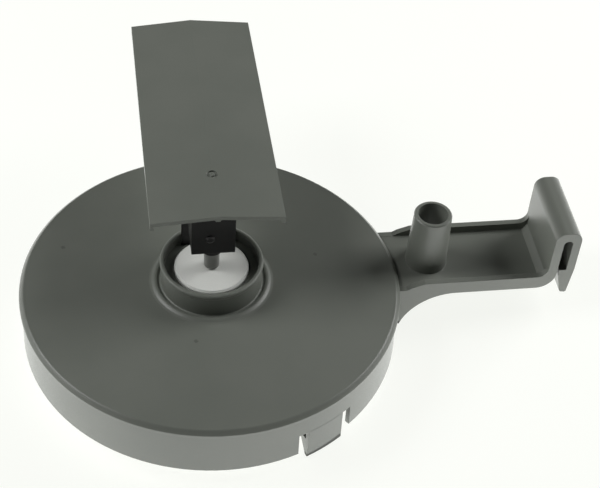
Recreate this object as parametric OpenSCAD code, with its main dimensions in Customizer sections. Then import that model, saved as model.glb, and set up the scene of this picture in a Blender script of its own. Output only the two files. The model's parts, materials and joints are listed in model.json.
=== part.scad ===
// Float switch: a round float dish with a clip arm, a microswitch above its collar and a drip roof.
// Frame: origin on the dish's axis at the skirt's lower edge, +X along the arm, +Z up. Millimetres.

/* [Dish] */
// Diameter over the rim bead
dish_d = 160; // [130:1:200]
// Height of the rim above the skirt's lower edge
dish_h = 24; // [20:0.5:32]
// Wall of the skirt and the top
dish_t = 2; // [1.6:0.1:3]
// How far the rim bead stands out from the skirt
bead_out = 0.9; // [0.4:0.1:1.6]
// Height of the rim bead
bead_h = 3.2; // [2:0.1:5]
// Rise of the top from the rim to the collar
top_rise = 2; // [0.5:0.1:4]
// Draft of the skirt over its whole height
skirt_draft = 0.6; // [0:0.1:1.5]

/* [Collar] */
// Diameter over the collar's rim
collar_d = 43; // [35.5:0.5:52]
// Height of the collar's rim above the dish's rim
collar_h = 13.5; // [10:0.5:18]
// Wall of the collar at its rim
collar_t = 2; // [1.4:0.1:2.6]
// Distance of the raised ring from the collar's wall
ring_out = 3.5; // [2:0.1:8]
// Height of the raised ring
ring_h = 0.9; // [0.4:0.1:1.5]
// Depth of the inner ledge below the collar's rim
ledge_drop = 4.9; // [3:0.1:7]
// Thickness of the inner ledge
ledge_t = 2.2; // [1.6:0.1:3]
// Width of the inner ledge between the collar's wall and the cap's hole
ledge_w = 3.6; // [3.6:0.1:5]

/* [Snap tabs] */
// Directions of the snap tabs in the skirt
tab_az = [-60, 120];
// Width of a tab
tab_w = 17.4; // [10:0.2:24]
// Width of the slit on each side of a tab
tab_slit = 4.3; // [2:0.1:6]
// Height of the slits above the skirt's lower edge
tab_slit_h = 11; // [8:0.5:16]
// How far a tab hangs below the skirt
tab_drop = 4.8; // [2:0.1:8]
// How far a tab's nose reaches inwards
tab_nose = 4; // [2.8:0.1:5]

/* [Arm] */
// Distance of the arm's centre line from the dish's axis
arm_y = 8.7; // [0:0.1:14]
// Width of the arm
arm_w = 36; // [28:0.5:48]
// Length of the arm from the dish's rim to its end face
arm_len = 64; // [50:0.5:90]
// Height of the arm's side walls
arm_h = 6.6; // [5:0.1:10]
// Depth of the trough below the wall tops
trough_h = 3.4; // [2:0.1:5]
// Thickness of the trough's floor
floor_t = 2.2; // [1.6:0.1:3]
// Thickness of the back wall
back_wall = 2.6; // [1.8:0.1:4]
// Thickness of the front wall
front_wall = 2.6; // [1.8:0.1:4]
// Length over which the walls rise from the dish to their full height
wall_run = 10.5; // [6:0.5:14]
// Radius of the gussets that carry the walls down to the skirt's lower edge
gusset_r = 24.2; // [12:0.1:26]

/* [Guide tube] */
// Distance of the tube's axis from the dish's rim along the arm
tube_out = 14.6; // [12:0.1:30]
// Height of the tube above the trough's floor
tube_h = 27.4; // [15:0.1:40]
// Outer diameter at the tube's top
tube_d = 16.2; // [15:0.1:20]
// Outer diameter at the tube's foot
tube_foot_d = 18.2; // [16.5:0.1:22]
// Bore of the tube
tube_bore = 12.8; // [10:0.1:13.6]

/* [Edge clip] */
// Height of the clip above the arm's wall tops
clip_up = 25; // [15:0.5:35]
// Thickness of the inner leg
clip_in = 3.9; // [3:0.1:5]
// Thickness of the outer leg
clip_out = 3.6; // [3:0.1:5]
// Width of the slot between the legs
clip_slot = 3.9; // [2.5:0.1:5]
// Distance of the slot's lower end above the arm's wall tops
clip_nose_up = 3.6; // [2:0.1:8]
// How far the outer leg hangs below the arm's wall tops
clip_down = 10.2; // [7:0.1:14]
// Gap between the barb and the inner leg
clip_gap = 0.9; // [0.6:0.1:1.5]
// Radius of the corner where the arm turns up into the inner leg
toe_r = 8; // [4:0.5:8]

/* [Float] */
// Gap between the foam float and the skirt
foam_gap = 1.9; // [1:0.1:2.4]
// Room above the foam float when it is fully up
foam_room = 0.7; // [0.4:0.1:3]
// Height of the float's underside above the skirt's lower edge
foam_z = 5.1; // [4:0.1:7]
// Gap between the cap and the ledge's hole
cap_gap = 0.4; // [0.3:0.1:1]
// Height of the cap's top above the ledge
cap_up = 1.4; // [0.5:0.1:3]
// Wall of the cap
cap_t = 1.6; // [1.2:0.1:2.5]
// Diameter of the cap's flange on the foam
cap_flange_d = 44; // [34:1:60]
// Diameter of the cap's spigot in the foam
spigot_d = 10; // [7:0.5:16]
// How far the float can rise
lift = 4.2; // [3:0.1:4.2]

/* [Lift pin] */
// Diameter of the pin
pin_d = 6.4; // [5.3:0.1:7.7]
// How far the pin's stop flange stands out from the pin
pin_lip = 1; // [0.6:0.1:1.5]

/* [Switch holder] */
// Width of the holder
holder_w = 17.8; // [17:0.1:22]
// Gap between the pin's flange and the holder's front wall
pin_room = 0.4; // [0.3:0.1:2]
// Length of the holder
holder_len = 30; // [28:0.5:40]
// Height of the holder's side walls above the switch case
holder_rise = 1.2; // [0.2:0.1:3]
// Wall of the holder
holder_t = 1.2; // [1:0.1:1.2]
// Thickness of the holder's floor
holder_floor = 1; // [0.8:0.1:1]
// Height of the holder's underside above the ledge
holder_up = 14.1; // [13:0.1:18]
// Wall of the boss round the pin
boss_t = 1.1; // [0.8:0.1:2]
// Length of the boss below the holder
boss_h = 3; // [2:0.1:6.2]
// Width of a leg
leg_w = 3.4; // [2:0.1:3.4]
// Depth of a leg
leg_t = 1.4; // [1:0.1:1.4]

/* [Microswitch] */
// Thickness of the switch case
case_w = 6.4; // [6:0.1:10]
// Length of the switch case
case_len = 19.8; // [19.8:0.1:24]
// Height of the switch case
case_h = 9.4; // [9.4:0.1:12]
// Wall of the switch case
case_t = 1; // [0.8:0.1:1.2]
// Distance from the lever's pivot to the pin's axis
lever_arm = 15; // [14.5:0.1:15.5]
// Distance from the lever's pivot to the button
button_arm = 5.3; // [5:0.1:6]
// Diameter of the button
button_d = 2.6; // [2:0.1:3]
// Length of a terminal outside the case
terminal_len = 7.5; // [5:0.5:9]

/* [Drip roof] */
// Width of the roof
roof_w = 54.2; // [40:0.5:70]
// Length of the roof
roof_len = 133.5; // [90:0.5:160]
// Thickness of the roof
roof_t = 1.7; // [1.2:0.1:2.4]
// Fall of the ridge from the roof's front to its back
roof_pitch = 1.4; // [0:0.1:3]
// Fall from the ridge to the side at the front
roof_fall_front = 2.1; // [0.3:0.1:3]
// Fall from the ridge to the side at the back
roof_fall_back = 2.6; // [0.3:0.1:6]
// Sideways offset of the ridge from the dish's axis
roof_x = 1.6; // [-3:0.1:3]
// Depth of the side lips below the roof's sides
lip_h = 3.4; // [2:0.1:6]
// Thickness of the side lips
lip_t = 1.4; // [1:0.1:2]
// How far the roof stands out in front of the holder
roof_over = 1.4; // [0.2:0.1:4]

/* [Hidden] */
$fn = 96;
eps = 0.01;

// clearances
pin_gap = 0.07;       // pin in the boss, per side
rest_gap = 0.05;      // pin's foot over the cap, and stop flange over the holder's floor
axle_gap = 0.05;      // lever on its axle, per side
touch_gap = 0.08;     // between the switch's moving pieces

// dish
rim_r = dish_d / 2;
skirt_r = rim_r - bead_out;                 // skirt under the bead
foot_r = skirt_r + skirt_draft;             // skirt at its lower edge
ring_z = dish_h + top_rise;
collar_r = collar_d / 2;
ring_r = collar_r + ring_out;
collar_z = dish_h + collar_h;
collar_in = collar_r - collar_t;
ledge_z = collar_z - ledge_drop;
ledge_r = collar_in - ledge_w;

// snap tabs, as angles on the skirt
tab_half = asin(tab_w / 2 / foot_r);
slit_half = asin((tab_w / 2 + tab_slit) / foot_r);

// arm
arm_front = arm_y - arm_w / 2;
arm_back = arm_y + arm_w / 2;
wall_z = dish_h;
arm_z = wall_z - arm_h;
floor_z = wall_z - trough_h;
arm_end = rim_r + arm_len;
tube_x = rim_r + tube_out;
arm_root = rim_r - 12;                      // start of the arm's solids, inside the dish
gusset_x = rim_r + 0.5 + gusset_r;          // where the gussets' arcs reach the walls' lower edges

// clip, as distances along X
slot_x = arm_end + clip_in;
leg_x = slot_x + clip_slot;
clip_x = leg_x + clip_out;
clip_z = wall_z + clip_up;
toe_x = slot_x - toe_r;

// float
foam_r = skirt_r - dish_t - foam_gap;
foam_top = dish_h - dish_t - lift - foam_room;
cap_r = ledge_r - cap_gap;
cap_z = ledge_z + cap_up;
flange_t = 1.5;

// holder, switch and pin
pin_flange_r = pin_d / 2 + pin_lip;
holder_front = pin_flange_r + pin_room + holder_t;
holder_z = ledge_z + holder_up;
seat_z = holder_z + 8.2;                    // underside of the switch case
case_top = seat_z + case_h;
holder_top = case_top + holder_rise;
lever_z = seat_z - 1.4;                     // lever's pivot
lever_y = lever_arm;
button_y = lever_arm - button_arm;
case_y = -1.5;                              // front face of the switch case
lever_t = 0.4;
lever_rest = lift / lever_arm * 180 / PI;   // slope of the lever at rest, in degrees
button_z = lever_z - button_arm * tan(lever_rest) + lever_t / 2 / cos(lever_rest) + 2 * touch_gap;
blade_z = seat_z + 3.8;                     // contact blade's mid height
blade_t = 0.3;
blade_y = 0.2;                              // blade's pivot
contact_y = case_y + case_len - case_t - 2.5;
contact_r = 0.9;
head_h = 0.4;
strip_t = 0.5;
strip_w = 3;
blade_swing = lift * button_arm / lever_arm / (button_y - blade_y);
open_z = blade_z + (contact_y + contact_r - blade_y) * sin(blade_swing * 180 / PI)
         + blade_t / 2 + head_h + 0.15;     // face of the open contact
closed_z = blade_z - blade_t / 2 - head_h - touch_gap;
common_z = blade_z + 1.2;

rib_y = pin_flange_r + pin_room;            // front rib under the switch case
rib_t = 1.4;
hook_y = rib_y + rib_t + 0.4;               // roof's clips, behind the front rib
hook_w = 4.2;

// legs of the holder behind the cap, whose grips reach in to the edge of the cap's hole
leg_grip = 0.8;
leg_in = min(holder_w / 2 - 0.9, ledge_r * cos(63) + leg_grip);
leg_y = sqrt(pow(ledge_r, 2) - pow(leg_in - leg_grip, 2));

// roof
roof_y = -holder_front - roof_over;
ridge_z = holder_top + roof_t + 1.2;        // top of the ridge at the front

// pie slice of a profile, centred on azimuth az
module slice(az, half) {
    rotate([0, 0, az - half]) rotate_extrude(angle = 2 * half) children();
}

// box given by its low and high corners
module box(low, high) {
    translate(low) cube(high - low);
}

module dish_profile() {
    polygon([
        [foot_r, 0], [skirt_r, dish_h - bead_h],
        [rim_r - 0.3, dish_h - bead_h], [rim_r, dish_h - bead_h + 0.4],
        [rim_r, dish_h - 1.3], [rim_r - 0.1, dish_h - 0.8], [rim_r - 0.38, dish_h - 0.38],
        [rim_r - 0.8, dish_h - 0.1], [rim_r - 1.3, dish_h], [rim_r - 3, dish_h],
        // thin round ring and groove
        [ring_r + 2.2, ring_z], [ring_r + 1.4, ring_z + ring_h * 0.25],
        [ring_r + 0.8, ring_z + ring_h * 0.68], [ring_r + 0.4, ring_z + ring_h * 0.92],
        [ring_r, ring_z + ring_h],
        [ring_r - 0.5, ring_z + ring_h * 0.87], [ring_r - 0.85, ring_z + ring_h * 0.5],
        [ring_r - 1, ring_z],
        // small fillet and upright wall with a round rim
        [collar_r + 0.9, ring_z], [collar_r + 0.3, ring_z + 0.25],
        [collar_r - 0.1, ring_z + 0.7], [collar_r - 0.3, ring_z + 1.5],
        [collar_r - 0.3, collar_z - 2.4], [collar_r, collar_z - 1.9],
        [collar_r, collar_z - 0.7], [collar_r - 0.2, collar_z - 0.2], [collar_r - 0.7, collar_z],
        [collar_in + 0.7, collar_z], [collar_in + 0.2, collar_z - 0.2],
        [collar_in, collar_z - 0.7],
        // ledge round the cap
        [collar_in, ledge_z], [ledge_r + 0.3, ledge_z], [ledge_r, ledge_z - 0.3],
        [ledge_r, ledge_z - ledge_t], [collar_in, ledge_z - ledge_t],
        [collar_in, ring_z - dish_t + 1], [collar_in + 1, ring_z - dish_t],
        [ring_r + 1, ring_z - dish_t], [rim_r - 4, dish_h - dish_t],
        [skirt_r - dish_t, dish_h - dish_t - 1], [foot_r - dish_t, 0]
    ]);
}

// snap tab: a strip of the skirt that hangs lower, with a nose under the foam
module tab_profile() {
    nose_z = foam_z - 0.1;
    inner = foot_r - dish_t;
    polygon([
        [foot_r - 0.3, -tab_drop], [foot_r, -tab_drop + 0.5],
        [foot_r - skirt_draft * tab_slit_h / dish_h, tab_slit_h + eps],
        [inner - skirt_draft * tab_slit_h / dish_h, tab_slit_h + eps],
        [inner, nose_z], [inner - tab_nose, nose_z],
        [inner - tab_nose, nose_z - 1.2], [inner, -tab_drop + 0.6], [inner + 0.4, -tab_drop]
    ]);
}

module dish() {
    difference() {
        rotate_extrude() dish_profile();
        for (az = tab_az) slice(az, slit_half)
            translate([foot_r - dish_t - 3, -1]) square([dish_t + 5, tab_slit_h + 1]);
        // two slots in the ledge for the holder's legs
        for (side = [-1, 1])
            translate([side * (leg_in + leg_w / 2) - leg_w / 2 - 0.1, leg_y - 0.1,
                       ledge_z - ledge_t - 1])
                cube([leg_w + 0.2, leg_t + 0.2, ledge_t + 2]);
    }
    for (az = tab_az) slice(az, tab_half) tab_profile();
}

// points on a circle between two directions, in steps of a few degrees
function arc(x, z, r, from, to) =
    let (steps = ceil(abs(to - from) / 6))
    [for (i = [0:steps]) let (a = from + (to - from) * i / steps) [x + r * cos(a), z + r * sin(a)]];

// side view of the arm's walls, with a gusset under the dish's end and a low start on top
module wall_profile() {
    gusset_z = arm_z - gusset_r;
    low = floor_z + 0.1;
    polygon(concat(
        [[arm_root, max(gusset_z, 0)]],
        arc(gusset_x, gusset_z, gusset_r, 180 + asin(min(gusset_z, 0) / gusset_r), 90),
        // past this point the edge lies inside the clip's foot
        [[toe_x, arm_z], [toe_x + 0.4, arm_z + 1], [arm_end + 0.3, arm_z + 2.5],
         [arm_end + 0.3, wall_z], [rim_r + wall_run, wall_z],
         [rim_r + wall_run * 0.47, wall_z - trough_h * 0.59],
         [rim_r + wall_run * 0.27, low], [arm_root, low]]
    ));
}

// everything of the arm that lies inside the dish is cut away by this plug
module dish_inside() {
    translate([0, 0, -1]) cylinder(r1 = foot_r - dish_t + 0.5, r2 = skirt_r - dish_t + 0.5,
                                   h = dish_h + 2);
}

// upright wall of the arm between y0 and y1
module arm_wall(y0, y1) {
    translate([0, y1, 0]) rotate([90, 0, 0]) linear_extrude(y1 - y0) wall_profile();
    wall_fillet(y0, y1);
}

// wall that curves up into the clip's inner leg, between y0 and y1
module wall_fillet(y0, y1) {
    r = 4.5;
    difference() {
        box([arm_end - r, y0, wall_z - 2], [arm_end + eps, y1, wall_z + r]);
        translate([arm_end - r, y0 - 1, wall_z + r]) rotate([-90, 0, 0])
            cylinder(r = r, h = y1 - y0 + 2);
    }
}

module arm() {
    difference() {
        union() {
            box([arm_root, arm_front + 1, floor_z - floor_t], [arm_end - 2, arm_back - 1, floor_z]);
            arm_wall(arm_front, arm_front + front_wall);
            arm_wall(arm_back - back_wall, arm_back);
        }
        dish_inside();
    }
}

// outside of the tube, with its boss under the floor
module guide_tube() {
    rim = 0.5;
    translate([tube_x, arm_y, arm_z]) cylinder(d = tube_foot_d - 1, h = floor_z - arm_z);
    translate([tube_x, arm_y, floor_z - 1]) cylinder(d1 = tube_foot_d, d2 = tube_d, h = tube_h + 1 - rim);
    translate([tube_x, arm_y, floor_z + tube_h - rim]) cylinder(d1 = tube_d, d2 = tube_d - 2 * rim, h = rim);
}

// side view of the edge clip: an upside-down U with a barb on its outer leg
module clip_profile() {
    crown = 4.5;
    tip_z = wall_z - clip_down;
    nose_z = wall_z + clip_nose_up;
    barb_x = slot_x + clip_gap;
    difference() {
        union() {
            // inner leg and its foot, rounded to lead the sheet's edge in
            polygon(concat(arc(toe_x, arm_z + toe_r, toe_r, -90, 0),
                           [[slot_x, clip_z - crown], [arm_end, clip_z - crown],
                            [arm_end, floor_z], [toe_x, floor_z]]));
            translate([leg_x, nose_z]) square([clip_out, clip_z - crown - nose_z]);
            translate([arm_end, clip_z - crown - 3]) square([clip_x - arm_end, 3 + eps]);
            translate([arm_end + crown, clip_z - crown]) circle(r = crown);
            translate([clip_x - crown, clip_z - crown]) circle(r = crown);
            translate([arm_end + crown, clip_z - crown])
                square([clip_x - arm_end - 2 * crown, crown]);
            // outer leg with its barb and lead-in
            polygon([[clip_x, nose_z + eps], [barb_x, nose_z + eps], [barb_x, nose_z - 3],
                     [leg_x - 0.8, tip_z + 1.3], [leg_x - 0.2, tip_z + 0.3],
                     [clip_x - 1.8, tip_z], [clip_x - 1.2, tip_z + 0.6]]);
        }
        // slot with a rounded head
        translate([slot_x, nose_z]) square([clip_slot, clip_z - 4.3 - nose_z - clip_slot / 2]);
        translate([slot_x + clip_slot / 2, clip_z - 4.3 - clip_slot / 2])
            circle(d = clip_slot);
    }
}

module edge_clip() {
    translate([0, arm_back, 0]) rotate([90, 0, 0]) linear_extrude(arm_w) clip_profile();
    // small ramp between the trough's floor and the inner leg
    translate([0, arm_back - 1, 0]) rotate([90, 0, 0]) linear_extrude(arm_w - 2)
        polygon([[arm_end - 2.4, floor_z - 1], [arm_end - 2.4, floor_z],
                 [arm_end, floor_z + 3], [arm_end + eps, floor_z - 1]]);
}

module float_housing() {
    color("#62665f") difference() {
        union() {
            dish();
            arm();
            guide_tube();
            edge_clip();
        }
        translate([tube_x, arm_y, arm_z - 1]) cylinder(d = tube_bore, h = tube_h + arm_h + 2);
    }
}

module foam_float() {
    r = foam_r;
    color("#f1f1ec") rotate_extrude() polygon([
        [spigot_d / 2, foam_z], [r - 1, foam_z], [r, foam_z + 1],
        [r, foam_top - 2], [r - 2, foam_top],
        [spigot_d / 2, foam_top]
    ]);
}

module float_cap() {
    r = cap_r;
    barb = 0.8;
    color("#b9bbb6") rotate_extrude() polygon([
        [0, cap_z], [r - 0.8, cap_z], [r, cap_z - 0.8],
        [r, foam_top + flange_t], [cap_flange_d / 2, foam_top + flange_t],
        [cap_flange_d / 2, foam_top], [spigot_d / 2, foam_top], [spigot_d / 2, foam_z],
        [spigot_d / 2 + barb, foam_z], [spigot_d / 2 - 0.4, foam_z - 1.4],
        [spigot_d / 2 - cap_t, foam_z - 1.4], [spigot_d / 2 - cap_t, foam_top + flange_t],
        [r - cap_t, foam_top + flange_t], [r - cap_t, cap_z - cap_t], [0, cap_z - cap_t]
    ]);
}

module lift_pin() {
    r = pin_d / 2;
    foot_z = cap_z + rest_gap;
    stop_z = holder_z + holder_floor + rest_gap;
    tip_r = 1.6;
    // height of the round tip's centre so that it just clears the sloping lever
    tip_z = lever_z - lever_arm * tan(lever_rest)
            - (lever_t / 2 + tip_r + touch_gap) / cos(lever_rest);
    color("#71736f") {
        translate([0, 0, foot_z]) cylinder(r1 = r - 0.8, r2 = r, h = 0.8);
        translate([0, 0, foot_z + 0.8]) cylinder(r = r, h = stop_z - foot_z - 0.8 + eps);
        translate([0, 0, stop_z]) cylinder(r = pin_flange_r, h = 0.45);
        intersection() {
            translate([0, 0, tip_z]) sphere(r = tip_r);
            translate([0, 0, stop_z]) cylinder(r = tip_r + 1, h = 6);
        }
    }
}

// leg that goes through the ledge and grips it from above and below
module holder_leg(side) {
    foot_z = ledge_z - ledge_t - 1;
    scale([side, 1, 1]) {
        translate([leg_in, leg_y, foot_z]) cube([leg_w, leg_t, holder_z - foot_z + eps]);
        for (grip = [[foot_z, 1], [ledge_z, 1.2]])
            translate([leg_in - leg_grip, leg_y, grip[0]]) cube([leg_grip + eps, leg_t, grip[1]]);
        translate([leg_in, leg_y - 1, holder_z]) cube([leg_w, leg_t + 2, 2.5]);
    }
}

// rib that the switch case stands on and leans against
module case_rib(side, y) {
    half = holder_w / 2;
    scale([side, 1, 1]) {
        translate([2.4, y, holder_z]) cube([half - 2.4 - 0.2, rib_t, seat_z - holder_z]);
        translate([case_w / 2, y, holder_z])
            cube([half - case_w / 2 - 0.2, rib_t, case_top - holder_z - 1.5]);
    }
}

module switch_holder() {
    half = holder_w / 2;
    back = holder_len - holder_front;
    color("#141413") difference() {
        union() {
            difference() {
                box([-half, -holder_front, holder_z], [half, back, holder_top]);
                box([-half + holder_t, -holder_front + holder_t, holder_z + holder_floor],
                    [half - holder_t, back + 1, holder_top + 1]);
                // windows for the roof's clips
                box([-half - 1, hook_y - 0.4, holder_top - 5],
                    [half + 1, hook_y + hook_w + 0.4, holder_top - 3]);
            }
            translate([0, 0, holder_z - boss_h])
                cylinder(r = pin_d / 2 + pin_gap + boss_t, h = boss_h + eps);
            for (side = [-1, 1]) {
                holder_leg(side);
                case_rib(side, rib_y);
                case_rib(side, 16.6);
            }
            // round stub on the front face
            translate([-1.4, -holder_front + eps, holder_z + 8.3]) rotate([90, 0, 0]) {
                cylinder(r = 1.9, h = 0.5);
                translate([0, 0, 0.5]) cylinder(r1 = 1.9, r2 = 1.2, h = 0.4);
            }
        }
        translate([0, 0, holder_z - boss_h - 1])
            cylinder(r = pin_d / 2 + pin_gap, h = boss_h + holder_floor + 2);
    }
}

// inner half-width of the case and the plane where the cover meets it
case_in = case_w / 2 - case_t;
cover_x = case_w / 2 - 0.8;

module terminal_slots() {
    for (z = [closed_z - head_h - strip_t, common_z, open_z + head_h])
        box([-strip_w / 2, case_y + case_len - case_t - 1, z],
            [strip_w / 2, case_y + case_len + 1, z + strip_t]);
}

module switch_case() {
    inner_y = case_y + case_t;
    back_y = case_y + case_len - case_t;
    color("#20201f") difference() {
        union() {
            box([-case_w / 2, case_y, seat_z], [cover_x, case_y + case_len, case_top]);
            // two ears for the lever's axle
            for (x = [-case_w / 2, cover_x - 0.6])
                box([x, lever_y - 1.2, lever_z - 1], [x + 0.6, lever_y + 1.2, seat_z + eps]);
        }
        box([-case_in, inner_y, seat_z + case_t], [cover_x + 1, back_y, case_top - case_t]);
        translate([0, button_y, seat_z - 1])
            cylinder(r = button_d / 2 + axle_gap, h = case_t + 2);
        translate([-case_w, lever_y, lever_z]) rotate([0, 90, 0])
            cylinder(r = 0.6, h = 2 * case_w);
        terminal_slots();
    }
}

module switch_cover() {
    color("#2a2a28")
        box([cover_x, case_y, seat_z], [case_w / 2, case_y + case_len, case_top]);
}

module switch_button() {
    top = blade_z - blade_t / 2 - touch_gap;
    flange_z = seat_z + case_t + touch_gap;
    color("#c2382c") translate([0, button_y, 0]) {
        translate([0, 0, button_z]) cylinder(r1 = 0.3, r2 = button_d / 2, h = 0.6);
        translate([0, 0, button_z + 0.6]) cylinder(d = button_d, h = flange_z - button_z - 0.6);
        translate([0, 0, flange_z]) cylinder(r = button_d / 2 + 0.5, h = 0.7);
        translate([0, 0, flange_z + 0.7]) cylinder(r = 0.8, h = top - flange_z - 1.1);
        translate([0, 0, top - 0.4]) cylinder(r1 = 0.8, r2 = 0.2, h = 0.4);
    }
}

module switch_lever() {
    w = 3.2;
    eye_r = 1.1;
    color("#b8bab8") translate([-w / 2, lever_y, lever_z]) rotate([lever_rest, 0, 0]) {
        difference() {
            union() {
                translate([0, -lever_arm - 1, -lever_t / 2])
                    cube([w, lever_arm + 1, lever_t]);
                rotate([0, 90, 0]) cylinder(r = eye_r, h = w);
            }
            translate([-1, 0, 0]) rotate([0, 90, 0]) cylinder(r = 0.6 + axle_gap, h = w + 2);
        }
    }
}

module lever_axle() {
    color("#9a9c9b") translate([-case_w / 2, lever_y, lever_z]) rotate([0, 90, 0])
        cylinder(r = 0.6, h = cover_x + case_w / 2);
}

module contact_blade() {
    color("#b5763a") difference() {
        box([-1.2, blade_y - 0.1, blade_z - blade_t / 2],
            [1.2, contact_y + 1.2, blade_z + blade_t / 2]);
        translate([0, contact_y, blade_z - 1]) cylinder(r = 0.45, h = 2);
    }
}

module moving_contact() {
    color("#c9c9c4") translate([0, contact_y, 0]) {
        translate([0, 0, blade_z + blade_t / 2]) cylinder(r = contact_r, h = head_h);
        translate([0, 0, blade_z - blade_t / 2 - head_h]) cylinder(r = contact_r, h = head_h);
        translate([0, 0, blade_z - blade_t / 2 - head_h])
            cylinder(r = 0.45, h = blade_t + 2 * head_h);
    }
}

// flat terminal from inside the case to its free end, with a round hole
module terminal_strip(z, y0) {
    end_y = case_y + case_len + terminal_len;
    difference() {
        box([-strip_w / 2, y0, z], [strip_w / 2, end_y, z + strip_t]);
        translate([0, end_y - 1.8, z - 1]) cylinder(r = 0.6, h = strip_t + 2);
    }
}

module terminal_common() {
    back_y = case_y + case_len - case_t;
    front_y = case_y + case_t;
    side = -case_in;
    color("#c7a257") {
        terminal_strip(common_z, back_y - 0.6);
        box([side, back_y - 0.6, common_z], [0, back_y, common_z + strip_t]);
        box([side, front_y, common_z - 0.5], [side + 0.4, back_y, common_z + 1]);
        box([side, front_y, blade_z - 1], [1.2, front_y + 0.4, common_z + 1]);
    }
}

module terminal_closed() {
    color("#c7a257") terminal_strip(closed_z - head_h - strip_t, contact_y - 1.3);
}

module terminal_open() {
    color("#c7a257") terminal_strip(open_z + head_h, contact_y - 1.3);
}

module fixed_contact_closed() {
    color("#c9c9c4") translate([0, contact_y, closed_z - head_h])
        cylinder(r = contact_r, h = head_h);
}

module fixed_contact_open() {
    color("#c9c9c4") translate([0, contact_y, open_z]) cylinder(r = contact_r, h = head_h);
}

// roof sheet in narrow rows, whose ridge and sides fall a little towards the back
module roof_sheet() {
    half = roof_w / 2;
    rows = 30;
    around = 6;
    points = [for (i = [0:rows])
        let (top = ridge_z - roof_pitch * i / rows,
             side = top - roof_fall_front + (roof_fall_front - roof_fall_back) * i / rows,
             y = roof_y + roof_len * i / rows)
        each [[-half, y, side], [0, y, top], [half, y, side],
              [half, y, side - roof_t], [0, y, top - roof_t], [-half, y, side - roof_t]]];
    last = rows * around;
    sides = [for (i = [0:rows - 1], j = [0:around - 1])
        let (a = i * around + j, b = i * around + (j + 1) % around)
        each [[a, a + around, b], [b, a + around, b + around]]];
    polyhedron(points, concat([[0, 1, 4, 5], [1, 2, 3, 4]], sides,
                              [[last + 5, last + 4, last + 1, last],
                               [last + 4, last + 3, last + 2, last + 1]]));
}

// thin lip that hangs from one side of the roof
module roof_lip(side) {
    half = roof_w / 2;
    x0 = side > 0 ? half - lip_t : -half;
    hull() {
        for (end = [[roof_y, roof_fall_front],
                    [roof_y + roof_len - 0.1, roof_fall_back + roof_pitch]])
            translate([x0, end[0], ridge_z - end[1] - lip_h]) cube([lip_t, 0.1, lip_h - 0.2]);
    }
}

// clip that reaches down outside the holder's wall and hooks into its window
module roof_clip(side) {
    half = holder_w / 2;
    scale([side, 1, 1]) {
        box([half + 0.1, hook_y, holder_top - 5.4], [half + 1.5, hook_y + hook_w, holder_top + 1]);
        translate([half + 0.1 + eps, hook_y + hook_w, 0]) rotate([90, 0, 0]) linear_extrude(hook_w)
            polygon([[0, holder_top - 3], [-1, holder_top - 3], [0, holder_top - 5]]);
    }
}

module drip_roof() {
    gate_y = 18.4;
    gate_z = ridge_z - roof_pitch * (gate_y - roof_y) / roof_len;
    color("#62665f") difference() {
        union() {
            translate([roof_x, 0, 0]) {
                roof_sheet();
                for (side = [-1, 1]) roof_lip(side);
            }
            for (side = [-1, 1]) {
                roof_clip(side);
                // rib that stands on the holder's side wall
                box([side * (holder_w / 2 - holder_t / 2) - 0.5, 0, holder_top],
                    [side * (holder_w / 2 - holder_t / 2) + 0.5, 20, holder_top + 1]);
            }
            // pad that holds the switch case down
            box([-2.6, 2, case_top], [2.6, 14, holder_top + 2]);
            // small nose over the holder's front face
            translate([0, -holder_front, holder_top]) rotate([90, 0, 0]) linear_extrude(roof_over)
                polygon([[0, 2], [0, 1.2], [0.8, 0.2], [2.4, 0.2], [3, 1.2], [3, 2]]);
        }
        // moulding gate on top, a shallow dish with a nub
        difference() {
            translate([roof_x, gate_y, gate_z - 0.6]) cylinder(r = 2.3, h = 2);
            translate([roof_x, gate_y, gate_z - 1]) cylinder(r = 1, h = 1.1);
        }
    }
}

float_housing();
foam_float();
float_cap();
lift_pin();
switch_holder();
switch_case();
switch_cover();
switch_button();
switch_lever();
lever_axle();
contact_blade();
moving_contact();
terminal_common();
terminal_closed();
terminal_open();
fixed_contact_closed();
fixed_contact_open();
drip_roof();
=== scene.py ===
import json
import math

import bpy
import numpy as np
from mathutils import Matrix, Vector

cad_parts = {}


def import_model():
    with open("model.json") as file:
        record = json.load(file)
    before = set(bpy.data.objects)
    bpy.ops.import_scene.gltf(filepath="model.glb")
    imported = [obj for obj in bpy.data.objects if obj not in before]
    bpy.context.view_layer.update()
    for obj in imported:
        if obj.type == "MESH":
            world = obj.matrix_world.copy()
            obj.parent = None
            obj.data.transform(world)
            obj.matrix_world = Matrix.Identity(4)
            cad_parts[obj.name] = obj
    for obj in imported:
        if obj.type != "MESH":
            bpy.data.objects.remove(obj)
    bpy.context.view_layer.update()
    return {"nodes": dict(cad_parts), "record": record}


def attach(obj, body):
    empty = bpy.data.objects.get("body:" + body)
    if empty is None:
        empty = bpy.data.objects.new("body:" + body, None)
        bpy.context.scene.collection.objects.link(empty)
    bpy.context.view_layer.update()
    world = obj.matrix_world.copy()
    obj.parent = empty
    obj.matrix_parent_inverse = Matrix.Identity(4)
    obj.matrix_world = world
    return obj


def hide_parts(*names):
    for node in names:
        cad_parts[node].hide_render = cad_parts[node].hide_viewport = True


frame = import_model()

# Float switch: a moulded grey float dish with a clip arm, a white cap and foam float inside it,
# a black switch holder over the collar and a grey drip roof. All lengths are metres.

mm = 0.001
scene = bpy.context.scene
scene.view_settings.view_transform = "Standard"


# Node helpers

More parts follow.
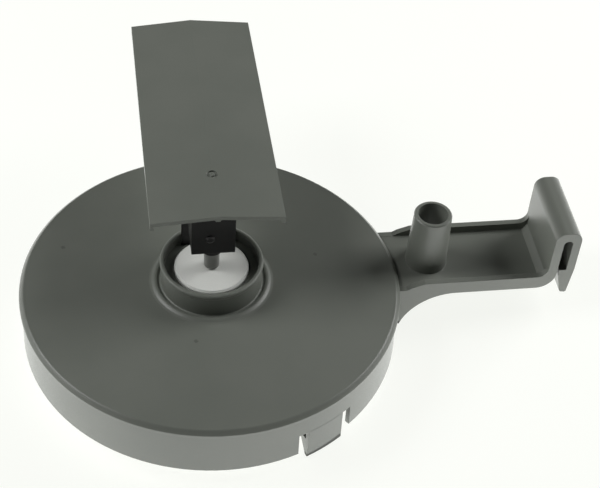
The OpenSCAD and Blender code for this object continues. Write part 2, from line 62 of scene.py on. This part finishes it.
class Net:
    """A node tree with short calls: new(kind, inputs, settings) adds a node and link(a, b) joins
    two sockets."""

    def __init__(self, tree):
        self.tree = tree

    def new(self, kind, inputs=None, **settings):
        node = self.tree.nodes.new(kind)
        for key, value in settings.items():
            setattr(node, key, value)
        for key, value in (inputs or {}).items():
            self.feed(node.inputs[key], value)
        return node

    def feed(self, socket, value):
        """Links a socket to the input, or sets the input to a plain value."""
        if isinstance(value, bpy.types.NodeSocket):
            self.link(value, socket)
        else:
            socket.default_value = value

    def link(self, a, b):
        self.tree.links.new(a, b)

    def math(self, operation, a, b=0.0):
        return self.new("ShaderNodeMath", {0: a, 1: b}, operation=operation).outputs[0]

    def noise(self, place, scale, detail, roughness=0.5):
        inputs = {"Vector": place, "Scale": scale, "Detail": detail, "Roughness": roughness}
        return self.new("ShaderNodeTexNoise", inputs).outputs[0]

    def ramp(self, value, low, high, out_low=0.0, out_high=1.0):
        """value from low to high becomes out_low to out_high, held at both ends, with a smooth
        start and end."""
        inputs = {"Value": value, "From Min": low, "From Max": high, "To Min": out_low, "To Max": out_high}
        node = self.new("ShaderNodeMapRange", inputs, interpolation_type="SMOOTHSTEP")
        return node.outputs["Result"]

    def mix(self, amount, a, b):
        """The colour a where amount is 0 and b where it is 1."""
        node = self.new("ShaderNodeMix", data_type="RGBA")
        for number, value in ((0, amount), (6, a), (7, b)):
            self.feed(node.inputs[number], value)
        return node.outputs[2]


def object_place(net):
    """The shaded point in the object's own coordinates, in metres."""
    return net.new("ShaderNodeTexCoord").outputs["Object"]


def group(name, inputs, outputs, build):
    """A shader node group with inputs (name, kind, value) and outputs (name, kind).
    build(net, ins) gives its outputs."""
    tree = bpy.data.node_groups.new(name, "ShaderNodeTree")
    for label, kind, value in inputs:
        socket = tree.interface.new_socket(label, in_out="INPUT", socket_type=kind)
        socket.default_value = value
    for label, kind in outputs:
        tree.interface.new_socket(label, in_out="OUTPUT", socket_type=kind)
    net = Net(tree)
    ins = net.new("NodeGroupInput").outputs
    results = build(net, ins)
    end = net.new("NodeGroupOutput")
    for label, _ in outputs:
        net.link(results[label], end.inputs[label])
    return tree


FLOAT, COLOUR, VECTOR = "NodeSocketFloat", "NodeSocketColor", "NodeSocketVector"


def srgb(r, g, b):
    """A colour written as screen values 0 to 255, as the linear colour that a shader socket takes."""
    def linear(c):
        c = c / 255
        return c / 12.92 if c <= 0.04045 else ((c + 0.055) / 1.055) ** 2.4
    return (linear(r), linear(g), linear(b), 1.0)


# Shared effects. A pattern of scale S has features about 1/S metres across.

NOISE_LOW, NOISE_HIGH = 0.3, 0.7        # values between which nearly all of a noise lies
GRAIN_SCALE = 2500.0                    # spark-eroded grain, 0.4 mm
WAVE_SCALE = 55.0                       # unevenness of a cooled wall, 18 mm
CLOUD_SCALE = 23.0                      # mottle of the colour, 43 mm
GRAIN_SHARE, WAVE_SHARE = 0.35, 1.4     # how much of the grain and the unevenness goes into the height


def build_moulded(net, ins):
    """Moulded plastic skin: fine grain, slow unevenness of the wall, and a faint mottle of colour."""
    place = object_place(net)
    fine = net.noise(place, ins["Grain"], detail=3.0, roughness=0.6)
    slow = net.noise(place, WAVE_SCALE, detail=2.0)
    cloud = net.noise(place, CLOUD_SCALE, detail=4.0, roughness=0.55)
    height = net.math("ADD", net.math("MULTIPLY", fine, GRAIN_SHARE), net.math("MULTIPLY", slow, WAVE_SHARE))
    amount = net.math("MULTIPLY", net.ramp(cloud, NOISE_LOW, NOISE_HIGH), ins["Mottle"])
    return {"Colour": net.mix(amount, ins["Base"], ins["Tint"]), "Height": height, "Grain": fine}


moulded = group(
    "moulded_skin",
    [("Base", COLOUR, (0.2, 0.2, 0.2, 1)), ("Tint", COLOUR, (0.25, 0.25, 0.25, 1)),
     ("Mottle", FLOAT, 0.5), ("Grain", FLOAT, GRAIN_SCALE)],
    [("Colour", COLOUR), ("Height", FLOAT), ("Grain", FLOAT)],
    build_moulded,
)

EDGE_ROUND = 0.35 * mm          # radius that softens an edge's shading
FLAT, SHARP = 0.995, 0.75       # cosines of the turn where wear begins and where it is full
WEAR_SCALE = 420.0              # patches of wear, 2.4 mm
WEAR_FROM, WEAR_TO = 0.3, 0.6   # noise values where a patch of wear starts and where it is full
WEAR_LEAST = 0.35               # share of the wear that is left between the patches


def build_edges(net, ins):
    """Mask that is 1 on outer edges and corners: how far the normal of a small bevel turns from
    the true one."""
    bevel = net.new("ShaderNodeBevel", {"Radius": ins["Radius"]}, samples=4)
    true = net.new("ShaderNodeNewGeometry").outputs["Normal"]
    turn = net.new("ShaderNodeVectorMath", {0: bevel.outputs[0], 1: true}, operation="DOT_PRODUCT")
    edge = net.ramp(turn.outputs["Value"], FLAT, SHARP)
    uneven = net.noise(object_place(net), WEAR_SCALE, detail=2.0)
    worn = net.math("MULTIPLY", edge, net.ramp(uneven, WEAR_FROM, WEAR_TO, WEAR_LEAST, 1.0))
    return {"Edge": worn, "Normal": bevel.outputs[0]}


edges = group(
    "worn_edges", [("Radius", FLOAT, EDGE_ROUND)], [("Edge", FLOAT), ("Normal", VECTOR)], build_edges,
)

SPECK_EDGE, SPECK_CORE = 0.075, 0.03    # distances in a cell where a speck ends and where it is full


def build_specks(net, ins):
    """Mask of sparse small specks: the cores of those cells whose random number is over the threshold."""
    cells = net.new("ShaderNodeTexVoronoi", {"Vector": object_place(net), "Scale": ins["Scale"]})
    core = net.ramp(cells.outputs["Distance"], SPECK_EDGE, SPECK_CORE)
    number = net.new("ShaderNodeSeparateColor", {"Color": cells.outputs["Color"]}).outputs[0]
    return {"Speck": net.math("MULTIPLY", core, net.math("GREATER_THAN", number, ins["Threshold"]))}


specks = group(
    "specks", [("Scale", FLOAT, 120.0), ("Threshold", FLOAT, 0.93)], [("Speck", FLOAT)], build_specks,
)

RAGGED_SCALE = 1800.0       # unevenness of a spot's edge, 0.6 mm
RAGGED = 0.4                # how far it moves the edge, in sizes of the spot


def build_spot(net, ins):
    """Mask of one soft round spot: 1 nearer to Place than Size, fading out at twice that, with a
    ragged edge."""
    place = object_place(net)
    ragged = net.noise(place, RAGGED_SCALE, detail=2.0)
    away = net.new("ShaderNodeVectorMath", {0: place, 1: ins["Place"]}, operation="DISTANCE")
    far = net.math("DIVIDE", away.outputs["Value"], ins["Size"])
    far = net.math("ADD", far, net.ramp(ragged, NOISE_LOW, NOISE_HIGH, -RAGGED, RAGGED))
    return {"Spot": net.ramp(far, 2.0, 1.0)}


spot = group(
    "spot", [("Place", VECTOR, (0, 0, 0)), ("Size", FLOAT, 0.5 * mm)], [("Spot", FLOAT)], build_spot,
)

ROLLING = (6000.0, 260.0, 6000.0)   # lines 0.17 mm apart and 4 mm long, along Y
STAIN_SCALE = 350.0                 # patches of tarnish, 3 mm
STAIN_FROM, STAIN_TO = 0.4, 0.7     # noise values where a patch starts and where it is full


def build_strip(net, ins):
    """Rolled metal strip: fine lines along the rolling direction, which are a stretched noise."""
    place = object_place(net)
    stretched = net.new("ShaderNodeMapping", {"Vector": place, "Scale": ROLLING}).outputs[0]
    lines = net.noise(stretched, 1.0, detail=2.0)
    stain = net.ramp(net.noise(place, STAIN_SCALE, detail=3.0), STAIN_FROM, STAIN_TO)
    return {"Lines": lines, "Colour": net.mix(stain, ins["Base"], ins["Tarnish"])}


strip = group(
    "rolled_strip", [("Base", COLOUR, (0.6, 0.6, 0.6, 1)), ("Tarnish", COLOUR, (0.4, 0.4, 0.4, 1))],
    [("Lines", FLOAT), ("Colour", COLOUR)], build_strip,
)

JOINT_WIDTH, BEAD_ROUND = 0.09, 0.35        # distances from a bead's edge: dark joint, rounded part
JOINT_SHADE, BEAD_SHADE = 0.86, 0.955       # share of the base colour in a joint and in the darkest bead
JOINT_COLOUR = (0.42, 0.43, 0.41, 1.0)


def build_beads(net, ins):
    """Bead foam: flattened beads as cells, darker and lower along the joints between them."""
    inputs = {"Vector": object_place(net), "Scale": ins["Scale"]}
    edge = net.new("ShaderNodeTexVoronoi", inputs, feature="DISTANCE_TO_EDGE").outputs["Distance"]
    tone = net.new("ShaderNodeTexVoronoi", inputs).outputs["Color"]
    number = net.new("ShaderNodeSeparateColor", {"Color": tone}).outputs[0]
    joint = net.ramp(net.ramp(edge, 0.0, JOINT_WIDTH), 0.0, 1.0, JOINT_SHADE, 1.0)
    shade = net.math("MULTIPLY", joint, net.ramp(number, 0.0, 1.0, BEAD_SHADE, 1.0))
    return {"Height": net.ramp(edge, 0.0, BEAD_ROUND), "Colour": net.mix(shade, JOINT_COLOUR, ins["Base"])}


beads = group(
    "foam_beads", [("Scale", FLOAT, 270.0), ("Base", COLOUR, (0.8, 0.8, 0.78, 1))],
    [("Height", FLOAT), ("Colour", COLOUR)], build_beads,
)


# Finishes

STRIP_RELIEF = 0.004 * mm
BEAD_RELIEF = 0.3 * mm


def finish(name, **constants):
    """A material with a Principled shader whose plain sockets are set to the constants:
    (material, net, shader)."""
    material = bpy.data.materials.new(name)
    material.use_nodes = True
    material.node_tree.nodes.clear()
    net = Net(material.node_tree)
    shader = net.new("ShaderNodeBsdfPrincipled", {k.replace("_", " "): v for k, v in constants.items()})
    net.new("ShaderNodeOutputMaterial", {"Surface": shader.outputs[0]})
    return material, net, shader


def plastic(name, base, tint, worn, rough=(0.36, 0.5), mottle=0.5, bump=0.03 * mm, wear=0.25,
            speck=None, specular=0.5, spots=()):
    """Moulded plastic: the skin's colour, lighter worn edges, a few specks, and a roughness that
    follows the grain. speck is (scale, threshold, strength, colour). spots are marks at known
    places: (place, size, colour, strength)."""
    material, net, shader = finish(name, Specular_IOR_Level=specular)
    skin = net.new("ShaderNodeGroup", node_tree=moulded)
    for label, value in (("Base", base), ("Tint", tint), ("Mottle", mottle)):
        skin.inputs[label].default_value = value
    rim = net.new("ShaderNodeGroup", {"Radius": EDGE_ROUND}, node_tree=edges)
    colour = net.mix(net.math("MULTIPLY", rim.outputs["Edge"], wear), skin.outputs["Colour"], worn)
    if speck:
        scale, threshold, strength, paint = speck
        dots = net.new("ShaderNodeGroup", node_tree=specks)
        dots.inputs["Scale"].default_value = scale
        dots.inputs["Threshold"].default_value = threshold
        colour = net.mix(net.math("MULTIPLY", dots.outputs[0], strength), colour, paint)
    for place, size, paint, strength in spots:
        mark = net.new("ShaderNodeGroup", {"Place": place, "Size": size}, node_tree=spot)
        colour = net.mix(net.math("MULTIPLY", mark.outputs[0], strength), colour, paint)
    net.link(colour, shader.inputs["Base Color"])
    net.link(net.ramp(skin.outputs["Grain"], NOISE_LOW, NOISE_HIGH, *rough), shader.inputs["Roughness"])
    inputs = {"Distance": bump, "Height": skin.outputs["Height"], "Normal": rim.outputs["Normal"]}
    net.link(net.new("ShaderNodeBump", inputs).outputs[0], shader.inputs["Normal"])
    return material


def metal(name, base, tarnish, rough=(0.22, 0.4)):
    """Rolled strip: lines in the roughness and the relief, and a slight tarnish."""
    material, net, shader = finish(name, Metallic=1.0)
    sheet = net.new("ShaderNodeGroup", {"Base": base, "Tarnish": tarnish}, node_tree=strip)
    net.link(sheet.outputs["Colour"], shader.inputs["Base Color"])
    net.link(net.ramp(sheet.outputs["Lines"], NOISE_LOW, NOISE_HIGH, *rough), shader.inputs["Roughness"])
    relief = net.new("ShaderNodeBump", {"Distance": STRIP_RELIEF, "Height": sheet.outputs["Lines"]})
    net.link(relief.outputs[0], shader.inputs["Normal"])
    return material


def foam(name, base, rough=(0.75, 0.5)):
    """White bead foam: matt, with the beads' joints darker, lower and rougher. rough is the
    roughness in a joint and on a bead."""
    material, net, shader = finish(name, Specular_IOR_Level=0.3)
    pattern = net.new("ShaderNodeGroup", {"Base": base}, node_tree=beads)
    net.link(pattern.outputs["Colour"], shader.inputs["Base Color"])
    net.link(net.ramp(pattern.outputs["Height"], 0.0, 1.0, *rough), shader.inputs["Roughness"])
    relief = net.new("ShaderNodeBump", {"Distance": BEAD_RELIEF, "Height": pattern.outputs["Height"]})
    net.link(relief.outputs[0], shader.inputs["Normal"])
    return material


DUST = srgb(52, 54, 48)
# Small dark marks, three on the top of the dish and one on the roof: X, Y, Z and size in
# millimetres, and strength
MARKS = [
    (-61.2, 24.9, 24.6, 0.6, 0.45),
    (45.9, 11.3, 25.2, 0.55, 0.4),
    (-9.4, -34.1, 25.8, 0.55, 0.45),
    (-19.5, 82.0, 67.0, 0.45, 0.5),
]

finishes = {
    "grey_moulding": plastic(
        "grey_plastic", srgb(105, 109, 102), srgb(115, 118, 111), srgb(150, 152, 144),
        spots=[((x * mm, y * mm, z * mm), size * mm, DUST, strength) for x, y, z, size, strength in MARKS]),
    "white_cap": plastic(
        "white_cap_plastic", srgb(224, 226, 221), srgb(231, 232, 228), srgb(238, 239, 235),
        rough=(0.2, 0.32), mottle=0.6, bump=0.06 * mm),
    "grey_pin": plastic(
        "pin_plastic", srgb(112, 114, 109), srgb(124, 126, 121), srgb(150, 151, 147), rough=(0.3, 0.42)),
    "black_holder": plastic(
        "black_holder_plastic", srgb(11, 11, 11), srgb(16, 16, 15), srgb(48, 48, 46),
        rough=(0.34, 0.48), specular=0.3, speck=(420.0, 0.96, 0.35, srgb(92, 92, 88))),
    "switch_body": plastic(
        "switch_case_plastic", srgb(30, 30, 30), srgb(38, 38, 37), srgb(72, 72, 70), rough=(0.4, 0.52)),
    "red_button": plastic(
        "red_button_plastic", srgb(178, 42, 32), srgb(192, 54, 42), srgb(208, 88, 76), rough=(0.22, 0.32)),
    "white_foam": foam("bead_foam", srgb(236, 237, 233)),
    "steel": metal("steel_strip", srgb(176, 178, 176), srgb(148, 150, 148)),
    "copper_alloy": metal("copper_spring_strip", srgb(190, 126, 82), srgb(150, 96, 62)),
    "silver_contact": metal(
        "silver_contact_metal", srgb(214, 214, 208), srgb(180, 180, 172), rough=(0.15, 0.3)),
    "brass_terminal": metal("brass_strip", srgb(204, 172, 98), srgb(168, 138, 74)),
}

slot_of = {part["node"]: part["material_slot"] for part in frame["record"]["subparts"]}
for node, thing in frame["nodes"].items():
    for holder in thing.material_slots:
        holder.material = finishes[slot_of[node]]


# Housing

FOOT_LOW, FOOT_HIGH = 25.95 * mm, 27.2 * mm     # heights between which the collar's foot lies
RING_IN, RING_OUT = 23.9 * mm, 27.3 * mm        # radii of the modelled ring's inner and outer foot
RING_NEAR, RING_FAR = 22.3 * mm, 26.1 * mm      # radii where the two feet go
WALL = 21.2 * mm                                # radius of the collar's wall over its fillet
FILLET_IN, FILLET_OUT = 21.25 * mm, 22.5 * mm   # radii between which the fillet's own points lie
FILLET_SHARE = 0.4                              # share of its size that the fillet keeps
CLOSE = 0.03 * mm                               # how near a point lies to the corner that it belongs to
# The rim's corners from the top round the bead, as radius and height: as modelled, and as the wide
# soft bevel that the rim has
RIM = np.array([(78.7, 24), (79.2, 23.9), (79.62, 23.62), (79.9, 23.2), (80, 22.7)]) * mm
SOFT_RIM = np.array([(78.1, 24), (78.55, 23.78), (79.05, 23.36), (79.55, 22.86), (80, 22.3)]) * mm


def close_ring(place):
    """Brings the round ring in towards the collar. A point of the ring moves along its own radius,
    so that the two feet land on their new radii and those between keep their share of the way. A
    point of the fillet keeps a share of its distance from the wall and of its height over the dish."""
    away = np.hypot(place[:, 0], place[:, 1])
    foot = (place[:, 2] > FOOT_LOW) & (place[:, 2] < FOOT_HIGH)
    ring = foot & (away > RING_IN) & (away < RING_OUT)
    fillet = foot & (away > FILLET_IN) & (away < FILLET_OUT)
    near, far = away[ring].min(), away[ring].max()
    closer = RING_NEAR + (away - near) * (RING_FAR - RING_NEAR) / (far - near)
    moved = np.where(ring, closer, np.where(fillet, WALL + (away - WALL) * FILLET_SHARE, away))
    place[:, :2] *= (moved / np.maximum(away, mm))[:, None]
    low = place[ring, 2].min()
    place[fillet, 2] = low + (place[fillet, 2] - low) * FILLET_SHARE


def soft_rim(place):
    """Moves each point that lies on a corner of the modelled rim to the same corner of the soft one,
    along its own radius."""
    away = np.hypot(place[:, 0], place[:, 1])
    for (old_away, old_high), (new_away, new_high) in zip(RIM, SOFT_RIM):
        here = (np.abs(away - old_away) < CLOSE) & (np.abs(place[:, 2] - old_high) < CLOSE)
        place[here, :2] *= new_away / old_away
        place[here, 2] = new_high


def dish_housing():
    """The housing as it is moulded: the same surface as the node's, with its round ring hard against
    the collar's foot, only a fine groove between them, and a wide soft bevel round its rim."""
    mesh = frame["nodes"]["float_housing"].data.copy()
    mesh.name = "dish_housing"
    flat = np.empty(len(mesh.vertices) * 3)
    mesh.vertices.foreach_get("co", flat)
    place = flat.reshape(-1, 3)
    close_ring(place)
    soft_rim(place)
    mesh.vertices.foreach_set("co", place.ravel())
    mesh.update()
    piece = bpy.data.objects.new("dish_housing", mesh)
    scene.collection.objects.link(piece)
    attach(piece, "housing")
    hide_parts("float_housing")


# Stage

TAB_AWAY, TAB_DROP, TAB_TURN = 79.6 * mm, 4.8 * mm, -60     # a snap tab's lower end, its turn in degrees
FLOOR_HALF = 4.0
# The floor's colour for the light that it throws on the object, and for the camera and mirror
# reflections, which see a little of the lamps' light on it and its own even white
FLOOR_LIT = (0.85, 0.85, 0.84, 1)
FLOOR_DIM = (0.16, 0.16, 0.158, 1)
FLOOR_GLOW, GLOW_STRENGTH = (0.985, 1.0, 0.955, 1), 0.88
# The room's white where it is seen, and its strength as a light
ROOM_WHITE = (0.99, 1.0, 0.97, 1)
ROOM_LIGHT = 0.03
HORIZON_HIGH, HORIZON_LOW = 0.3, 0.1    # sines of the heights where the white starts and is full
# Soft boxes: turn from +X towards +Y and height over the horizon in degrees, power in watts
SOFTBOXES = {"left_softbox": (170, 41, 4.8), "right_softbox": (15, 34, 4.5)}
SOFTBOX_SIDE, SOFTBOX_AWAY = 0.42, 0.85
MIDDLE = Vector((0, 0.02, 0.03))        # the point that the soft boxes are turned to
# Light table under and round the object: its side, power in watts, and height over the floor
TABLE_SIDE, TABLE_POWER, TABLE_RISE = 1.5, 8.2, 0.002


def floor_plane():
    """The plane that the float switch rests on: through the lower ends of its two snap tabs and the
    skirt's edge between them on the arm's side. Gives a point on it and its upward normal."""
    turn = math.radians(TAB_TURN)
    tab = Vector((TAB_AWAY * math.cos(turn), TAB_AWAY * math.sin(turn), -TAB_DROP))
    other = Vector((-tab.x, -tab.y, -TAB_DROP))
    edge = Vector((-tab.y, tab.x, 0.0))
    up = (other - tab).cross(edge - tab).normalized()
    return tab, up if up.z > 0 else -up


def floor():
    """A large flat sheet, whose corners lie half its side each way from a point of the resting
    plane. The camera and mirror reflections see it nearly white, and it keeps the object's shadow."""
    point, up = floor_plane()
    side = up.cross(Vector((0, 1, 0))).normalized() * FLOOR_HALF
    along = up.cross(side)
    corners = [point + side * i + along * j for i, j in ((-1, -1), (1, -1), (1, 1), (-1, 1))]
    mesh = bpy.data.meshes.new("floor")
    mesh.from_pydata([tuple(c) for c in corners], [], [(0, 1, 2, 3)])
    mesh.update()
    sheet = bpy.data.objects.new("floor", mesh)
    scene.collection.objects.link(sheet)
    material = bpy.data.materials.new("white_table")
    material.use_nodes = True
    material.node_tree.nodes.clear()
    net = Net(material.node_tree)
    seen = net.new("ShaderNodeLightPath").outputs
    mirror = net.math("MAXIMUM", seen["Is Glossy Ray"], seen["Is Transmission Ray"])
    lit = net.new("ShaderNodeBsdfDiffuse", {"Color": FLOOR_LIT})
    dim = net.new("ShaderNodeBsdfDiffuse", {"Color": FLOOR_DIM})
    glow = net.new("ShaderNodeEmission", {"Color": FLOOR_GLOW, "Strength": GLOW_STRENGTH})
    both = net.new("ShaderNodeAddShader", {0: dim.outputs[0], 1: glow.outputs[0]})
    amount = net.math("MAXIMUM", seen["Is Camera Ray"], mirror)
    mixed = net.new("ShaderNodeMixShader", {0: amount, 1: lit.outputs[0], 2: both.outputs[0]})
    net.new("ShaderNodeOutputMaterial", {"Surface": mixed.outputs[0]})
    mesh.materials.append(material)


def world():
    """Dark room. The camera sees it white past the floor, and mirror reflections see it white near
    the horizon."""
    room = bpy.data.worlds.new("room")
    scene.world = room
    room.use_nodes = True
    room.node_tree.nodes.clear()
    net = Net(room.node_tree)
    ray = net.new("ShaderNodeTexCoord").outputs["Generated"]
    height = net.new("ShaderNodeSeparateXYZ", {"Vector": ray}).outputs["Z"]
    seen = net.new("ShaderNodeLightPath").outputs
    mirror = net.math("MAXIMUM", seen["Is Glossy Ray"], seen["Is Transmission Ray"])
    mirror = net.math("MULTIPLY", mirror, net.ramp(height, HORIZON_HIGH, HORIZON_LOW))
    white = net.math("MAXIMUM", seen["Is Camera Ray"], mirror)
    strength = net.math("MAXIMUM", white, ROOM_LIGHT)
    back = net.new("ShaderNodeBackground", {"Color": ROOM_WHITE, "Strength": strength})
    net.new("ShaderNodeOutputWorld", {"Surface": back.outputs[0]})


def lamp(name, side, power, place, direction):
    """A soft square lamp of this side that shines along direction. The camera doesn't see it as a
    shape."""
    data = bpy.data.lights.new(name, "AREA")
    data.shape = "SQUARE"
    data.size = side
    data.energy = power
    thing = bpy.data.objects.new(name, data)
    turn = direction.to_track_quat("-Z", "Y").to_matrix().to_4x4()
    thing.matrix_world = Matrix.Translation(place) @ turn
    thing.visible_camera = False
    scene.collection.objects.link(thing)


def lamps():
    """Two soft boxes, to the left and right of the object, and a light table under it."""
    for name, (turn, height, power) in SOFTBOXES.items():
        turn = math.radians(turn)
        height = math.radians(height)
        flat = math.cos(height)
        away = Vector((flat * math.cos(turn), flat * math.sin(turn), math.sin(height)))
        lamp(name, SOFTBOX_SIDE, power, MIDDLE + SOFTBOX_AWAY * away, -away)
    point, up = floor_plane()
    under = Vector((0, 0, point.dot(up) / up.z + TABLE_RISE))
    lamp("light_table", TABLE_SIDE, TABLE_POWER, under, up)


def camera():
    """Camera at the photographed viewing angle: its place and its right and up directions in the
    part's frame."""
    place = Vector((-43.31, -398.65, 446.0)) * mm
    right = Vector((0.9897, -0.1333, 0.0522)).normalized()
    back = right.cross(Vector((0.0583, 0.7084, 0.7034))).normalized()
    turn = Matrix((right, back.cross(right), back)).transposed()
    data = bpy.data.cameras.new("camera")
    data.sensor_width = 36.0
    data.lens = 82.79
    data.shift_x = 0.0201
    data.shift_y = 0.0154
    data.clip_start = 0.01
    data.clip_end = 20.0
    eye = bpy.data.objects.new("camera", data)
    eye.matrix_world = Matrix.Translation(place) @ turn.to_4x4()
    scene.collection.objects.link(eye)
    scene.camera = eye


dish_housing()
camera()
floor()
world()
lamps()
